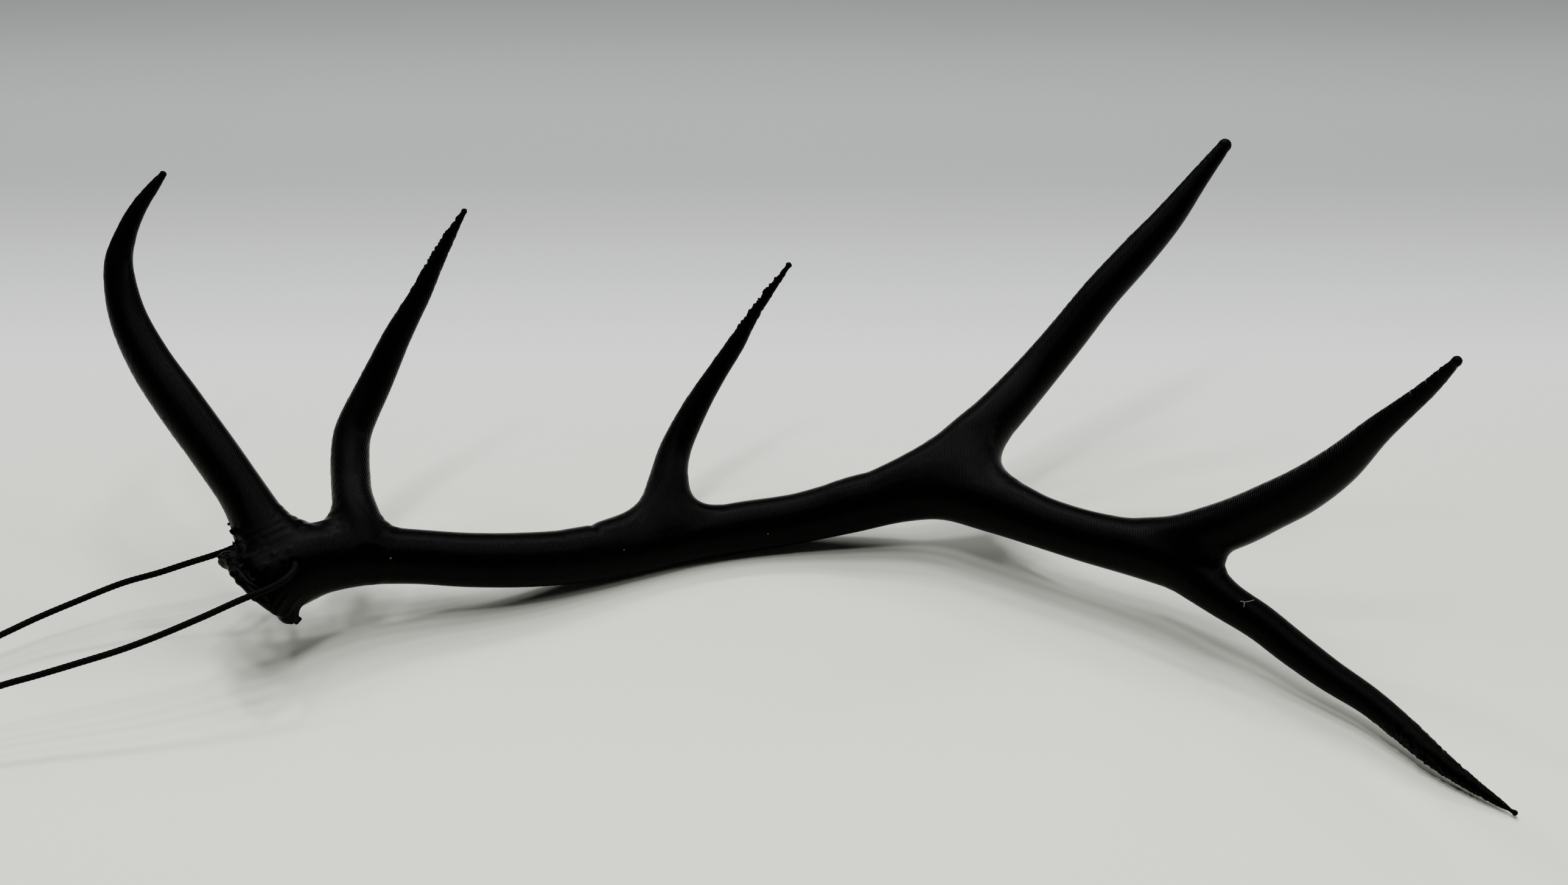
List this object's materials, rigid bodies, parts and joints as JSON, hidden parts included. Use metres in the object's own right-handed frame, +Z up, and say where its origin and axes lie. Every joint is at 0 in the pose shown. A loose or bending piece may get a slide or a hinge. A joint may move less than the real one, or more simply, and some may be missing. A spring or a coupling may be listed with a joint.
{
  "type": "antler ornament",
  "caption": "Replica deer antler with a burr, a bowed beam, tines and a forked end, printed in matte black plastic, with a thin cord looped through its burr for hanging.",
  "frame": {"origin": "on the table, under the middle of the antler's bounding box, with the cord left out", "axes": "+X along the beam from the burr to the fork, +Y away from the viewer towards the tips of the tines, +Z up from the table"},
  "size_m": [0.2288, 0.0932, 0.0498],
  "materials": {
    "black_plastic": "matte black, with fine print layers and rough tips",
    "black_cord": "fine round cord, matte"
  },
  "bodies": {
    "root": {"main_beam": "black_plastic", "brow_tine": "black_plastic", "bez_tine": "black_plastic", "trez_tine": "black_plastic", "royal_tine": "black_plastic", "upper_prong": "black_plastic", "lower_prong": "black_plastic", "hanging_cord": "black_cord", "cord_knot": "black_cord"}
  },
  "joints": []
}
